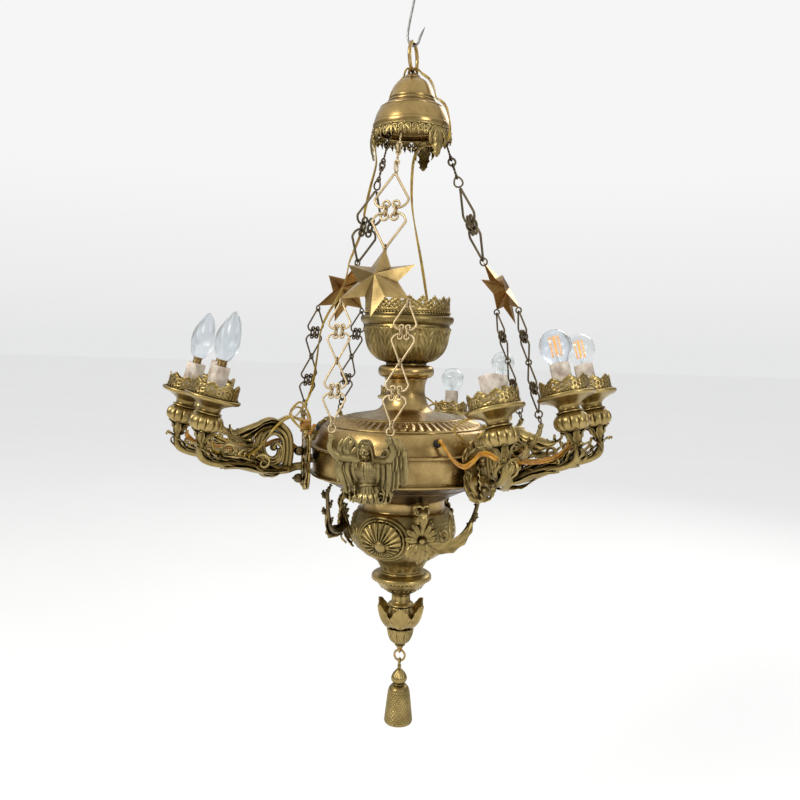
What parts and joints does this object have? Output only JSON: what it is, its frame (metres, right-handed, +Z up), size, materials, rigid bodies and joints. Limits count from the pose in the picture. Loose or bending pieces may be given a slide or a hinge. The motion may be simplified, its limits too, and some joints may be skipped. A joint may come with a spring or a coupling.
{
  "type": "sanctuary lamp",
  "caption": "Hanging brass church lamp with a turned urn body, star and heart-link chains, winged figures, clustered candle arms with bulbs, and a tassel finial.",
  "frame": {"origin": "bearing point at the top of the steel hook, where it hangs on a ceiling hook", "axes": "+Z up along the lamp's axis; the first winged figure faces -Y, with the others at 120 degree steps"},
  "size_m": [0.6985, 0.6737, 1.2788],
  "materials": {
    "brass": "aged satin",
    "dark_brass": "aged patina",
    "chain_brass": "dull",
    "steel": "dull",
    "bulb_glass": "clear",
    "amber_flex": "glossy",
    "black_rubber": "matte",
    "candle_plastic": "matte",
    "holder_plastic": "satin"
  },
  "bodies": {
    "hook": {"hanging_hook": "steel"},
    "ring": {"top_ring": "brass"},
    "lamp": {"canopy_eye": "brass", "canopy_dome": "brass", "canopy_bell": "brass", "canopy_fringe": "dark_brass", "canopy_hanger": "dark_brass", "main_chain_1": "chain_brass", "main_chain_2": "chain_brass", "main_chain_3": "chain_brass", "star_1": "brass", "star_2": "brass", "star_3": "brass", "hand_chains_1": "chain_brass", "hand_chains_2": "chain_brass", "hand_chains_3": "chain_brass", "angel_1": "dark_brass", "angel_2": "dark_brass", "angel_3": "dark_brass", "bowl_gallery": "brass", "light_bowl": "brass", "neck_knob": "brass", "body_neck": "brass", "body_cover": "brass", "body_drum": "brass", "body_base": "dark_brass", "lower_bulb": "brass", "finial_saucer": "brass", "leaf_cup": "brass", "finial_bud": "brass", "centre_rod": "steel", "arm_plate_1": "brass", "arm_plate_2": "brass", "arm_plate_3": "brass", "arm_cluster_1": "dark_brass", "arm_cluster_2": "dark_brass", "arm_cluster_3": "dark_brass", "arm_nuts": "dark_brass", "candle_cups": "brass", "cup_crowns": "brass", "candle_sleeves": "candle_plastic", "lamp_holders": "holder_plastic", "scroll_brackets": "dark_brass", "feed_cable": "amber_flex", "side_cable": "amber_flex", "arm_leads": "amber_flex", "cable_grommets": "black_rubber"},
    "loose_ring": {"tassel_ring": "brass"},
    "tassel": {"tassel": "brass"},
    "bulb_1": {"bulb_1": "bulb_glass"},
    "bulb_2": {"bulb_2": "bulb_glass"},
    "bulb_3": {"bulb_3": "bulb_glass"},
    "bulb_4": {"bulb_4": "bulb_glass"},
    "bulb_5": {"bulb_5": "bulb_glass"},
    "bulb_6": {"bulb_6": "bulb_glass"},
    "bulb_7": {"bulb_7": "bulb_glass"}
  },
  "joints": [
    {"name": "ring_swing", "type": "hinge", "parent": "hook", "child": "ring", "pos_m": [0, 0, -0.1642], "axis": [1, 0, 0], "range_deg": [-25, 25]},
    {"name": "lamp_swing", "type": "hinge", "parent": "ring", "child": "lamp", "pos_m": [0, 0, -0.2044], "axis": [0, 1, 0], "range_deg": [-15, 15]},
    {"name": "tassel_ring_swing", "type": "hinge", "parent": "lamp", "child": "loose_ring", "pos_m": [0, 0, -1.1547], "axis": [0, 1, 0], "range_deg": [-35, 35]},
    {"name": "tassel_swing", "type": "hinge", "parent": "loose_ring", "child": "tassel", "pos_m": [0, 0, -1.1691], "axis": [1, 0, 0], "range_deg": [-50, 50]},
    {"name": "bulb_1_out", "type": "slide", "parent": "lamp", "child": "bulb_1", "axis": [0.2168, 0.1252, 0.9681], "range_m": [0, 0.03]},
    {"name": "bulb_2_out", "type": "slide", "parent": "lamp", "child": "bulb_2", "axis": [0.2168, 0.1252, 0.9681], "range_m": [0, 0.03]},
    {"name": "bulb_3_out", "type": "slide", "parent": "lamp", "child": "bulb_3", "axis": [0.2168, 0.1252, 0.9681], "range_m": [0, 0.03]},
    {"name": "bulb_4_out", "type": "slide", "parent": "lamp", "child": "bulb_4", "axis": [-0.2532, 0.1462, 0.9563], "range_m": [0, 0.03]},
    {"name": "bulb_5_out", "type": "slide", "parent": "lamp", "child": "bulb_5", "axis": [-0.2532, 0.1462, 0.9563], "range_m": [0, 0.03]},
    {"name": "bulb_6_out", "type": "slide", "parent": "lamp", "child": "bulb_6", "axis": [0, 0.1564, 0.9877], "range_m": [0, 0.03]},
    {"name": "bulb_7_out", "type": "slide", "parent": "lamp", "child": "bulb_7", "axis": [0, 0.1564, 0.9877], "range_m": [0, 0.03]}
  ]
}
